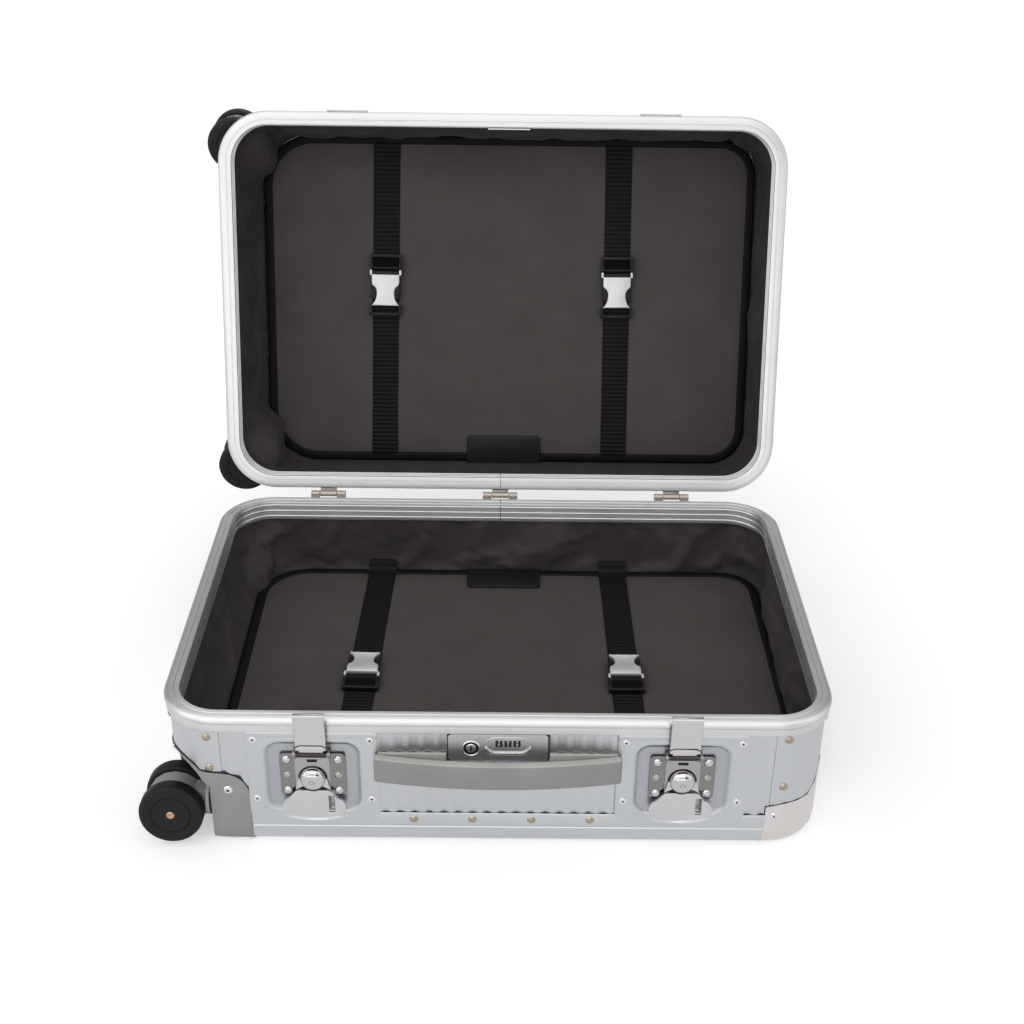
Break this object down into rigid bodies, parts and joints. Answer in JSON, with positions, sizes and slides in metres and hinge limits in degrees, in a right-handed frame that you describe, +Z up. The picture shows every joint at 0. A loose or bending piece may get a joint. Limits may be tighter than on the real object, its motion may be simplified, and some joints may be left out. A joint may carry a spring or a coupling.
{
  "type": "wheeled aluminium travel case",
  "caption": "Open aluminium trolley case: two lined shells in rim frames, hinged lid, twist latches, number lock, pull handles, swivel wheels and a pull-out trolley.",
  "frame": {"origin": "on the floor under the middle of the base's rim, on the flat bottom of the base shell", "axes": "+X along the case away from the wheels, +Y towards the hinges, +Z up out of the open base"},
  "size_m": [0.5397, 0.5533, 0.4507],
  "materials": {
    "aluminium_sheet": "satin anodised sheet",
    "aluminium_frame": "satin anodised extrusion",
    "bright_steel": "polished",
    "gunmetal": "satin",
    "grey_plastic": "satin moulded",
    "black_plastic": "satin moulded",
    "wheel_rubber": "matte",
    "handle_cover": "smooth grain",
    "lining_cloth": "woven, slight sheen",
    "board_cloth": "fine weave",
    "webbing": "ribbed webbing"
  },
  "bodies": {
    "base": {"base_shell": "aluminium_sheet", "base_rim": "aluminium_frame", "base_lining": "lining_cloth", "base_board": "board_cloth", "base_strap_left": "webbing", "base_strap_right": "webbing", "base_wheel_housing_front": "grey_plastic", "base_wheel_housing_back": "grey_plastic", "base_corner_cap_front": "bright_steel", "base_corner_cap_back": "bright_steel", "latch_plate_left": "aluminium_sheet", "latch_plate_right": "aluminium_sheet", "latch_base_left": "bright_steel", "latch_base_right": "bright_steel", "lock_housing": "gunmetal", "side_handle_rail": "grey_plastic", "top_handle_rail": "grey_plastic", "trolley_tube_front": "aluminium_frame", "trolley_tube_back": "aluminium_frame", "trolley_end_plate": "black_plastic", "trolley_foot": "black_plastic", "hinge_left": "bright_steel", "hinge_middle": "bright_steel", "hinge_right": "bright_steel"},
    "lid": {"lid_shell": "aluminium_sheet", "lid_rim": "aluminium_frame", "lid_lining": "lining_cloth", "lid_board": "board_cloth", "lid_strap_left": "webbing", "lid_strap_right": "webbing", "lid_wheel_housing_front": "grey_plastic", "lid_wheel_housing_back": "grey_plastic", "lid_corner_cap_front": "bright_steel", "lid_corner_cap_back": "bright_steel", "lid_strike_left": "bright_steel", "lid_strike_right": "bright_steel", "lock_catch": "bright_steel"},
    "hook_left": {"latch_hook_left": "bright_steel"},
    "hook_right": {"latch_hook_right": "bright_steel"},
    "knob_left": {"latch_knob_left": "bright_steel"},
    "knob_right": {"latch_knob_right": "bright_steel"},
    "wing_left": {"latch_wing_left": "bright_steel"},
    "wing_right": {"latch_wing_right": "bright_steel"},
    "side_pull": {"side_handle": "handle_cover"},
    "top_pull": {"top_handle": "handle_cover"},
    "dial_1": {"lock_dial_1": "black_plastic"},
    "dial_2": {"lock_dial_2": "black_plastic"},
    "dial_3": {"lock_dial_3": "black_plastic"},
    "key": {"key_cylinder": "bright_steel"},
    "trolley": {"trolley_grip": "black_plastic"},
    "button": {"trolley_button": "grey_plastic"},
    "base_front_caster": {"base_front_fork": "grey_plastic"},
    "base_back_caster": {"base_back_fork": "grey_plastic"},
    "lid_front_caster": {"lid_front_fork": "grey_plastic"},
    "lid_back_caster": {"lid_back_fork": "grey_plastic"},
    "base_front_pair": {"base_front_wheels": "wheel_rubber"},
    "base_back_pair": {"base_back_wheels": "wheel_rubber"},
    "lid_front_pair": {"lid_front_wheels": "wheel_rubber"},
    "lid_back_pair": {"lid_back_wheels": "wheel_rubber"}
  },
  "joints": [
    {"name": "lid_hinge", "type": "hinge", "parent": "base", "child": "lid", "pos_m": [0, 0.174, 0.1188], "axis": [1, 0, 0], "range_deg": [0, 105.5]},
    {"name": "hook_left_swing", "type": "hinge", "parent": "base", "child": "hook_left", "pos_m": [-0.138, -0.1712, 0.088], "axis": [1, 0, 0], "range_deg": [-5, 95]},
    {"name": "hook_right_swing", "type": "hinge", "parent": "base", "child": "hook_right", "pos_m": [0.138, -0.1712, 0.088], "axis": [1, 0, 0], "range_deg": [-5, 95]},
    {"name": "knob_left_turn", "type": "hinge", "parent": "base", "child": "knob_left", "pos_m": [-0.138, -0.1706, 0.066], "axis": [0, 1, 0], "range_deg": [0, 90]},
    {"name": "knob_right_turn", "type": "hinge", "parent": "base", "child": "knob_right", "pos_m": [0.138, -0.1706, 0.066], "axis": [0, -1, 0], "range_deg": [0, 90]},
    {"name": "wing_left_fold", "type": "hinge", "parent": "knob_left", "child": "wing_left", "pos_m": [-0.138, -0.1725, 0.0535], "axis": [-1, 0, 0], "range_deg": [0, 80]},
    {"name": "wing_right_fold", "type": "hinge", "parent": "knob_right", "child": "wing_right", "pos_m": [0.138, -0.1725, 0.0535], "axis": [-1, 0, 0], "range_deg": [0, 80]},
    {"name": "side_handle_pull", "type": "slide", "parent": "base", "child": "side_pull", "axis": [0, -1, 0], "range_m": [0, 0.009]},
    {"name": "top_handle_pull", "type": "slide", "parent": "base", "child": "top_pull", "axis": [1, 0, 0], "range_m": [0, 0.009]},
    {"name": "dial_1_turn", "type": "hinge", "parent": "base", "child": "dial_1", "pos_m": [0.0006, -0.1649, 0.097], "axis": [1, 0, 0], "continuous": true},
    {"name": "dial_2_turn", "type": "hinge", "parent": "base", "child": "dial_2", "pos_m": [0.0073, -0.1649, 0.097], "axis": [1, 0, 0], "continuous": true},
    {"name": "dial_3_turn", "type": "hinge", "parent": "base", "child": "dial_3", "pos_m": [0.014, -0.1649, 0.097], "axis": [1, 0, 0], "continuous": true},
    {"name": "key_turn", "type": "hinge", "parent": "base", "child": "key", "pos_m": [-0.02, -0.1682, 0.093], "axis": [0, 1, 0], "range_deg": [0, 90]},
    {"name": "trolley_slide", "type": "slide", "parent": "base", "child": "trolley", "axis": [1, 0, 0], "range_m": [0, 0.38]},
    {"name": "button_press", "type": "slide", "parent": "trolley", "child": "button", "axis": [-1, 0, 0], "range_m": [0, 0.0025], "stiffness_N_per_m": 250},
    {"name": "base_front_swivel", "type": "hinge", "parent": "base", "child": "base_front_caster", "pos_m": [-0.2475, -0.151, 0.034], "axis": [1, 0, 0], "continuous": true},
    {"name": "base_back_swivel", "type": "hinge", "parent": "base", "child": "base_back_caster", "pos_m": [-0.2475, 0.151, 0.034], "axis": [1, 0, 0], "continuous": true},
    {"name": "lid_front_swivel", "type": "hinge", "parent": "lid", "child": "lid_front_caster", "pos_m": [-0.2475, 0.33438, 0.41159], "axis": [1, 0, 0], "continuous": true},
    {"name": "lid_back_swivel", "type": "hinge", "parent": "lid", "child": "lid_back_caster", "pos_m": [-0.2475, 0.25367, 0.12057], "axis": [1, 0, 0], "continuous": true},
    {"name": "base_front_roll", "type": "hinge", "parent": "base_front_caster", "child": "base_front_pair", "pos_m": [-0.2475, -0.15173, 0.02704], "axis": [0, 0.9945, -0.1045], "continuous": true},
    {"name": "base_back_roll", "type": "hinge", "parent": "base_back_caster", "child": "base_back_pair", "pos_m": [-0.2475, 0.15027, 0.02704], "axis": [0, 0.9945, -0.1045], "continuous": true},
    {"name": "lid_front_roll", "type": "hinge", "parent": "lid_front_caster", "child": "lid_front_pair", "pos_m": [-0.2475, 0.33438, 0.40459], "axis": [0, 1, 0], "continuous": true},
    {"name": "lid_back_roll", "type": "hinge", "parent": "lid_back_caster", "child": "lid_back_pair", "pos_m": [-0.2475, 0.25367, 0.11357], "axis": [0, 1, 0], "continuous": true}
  ]
}
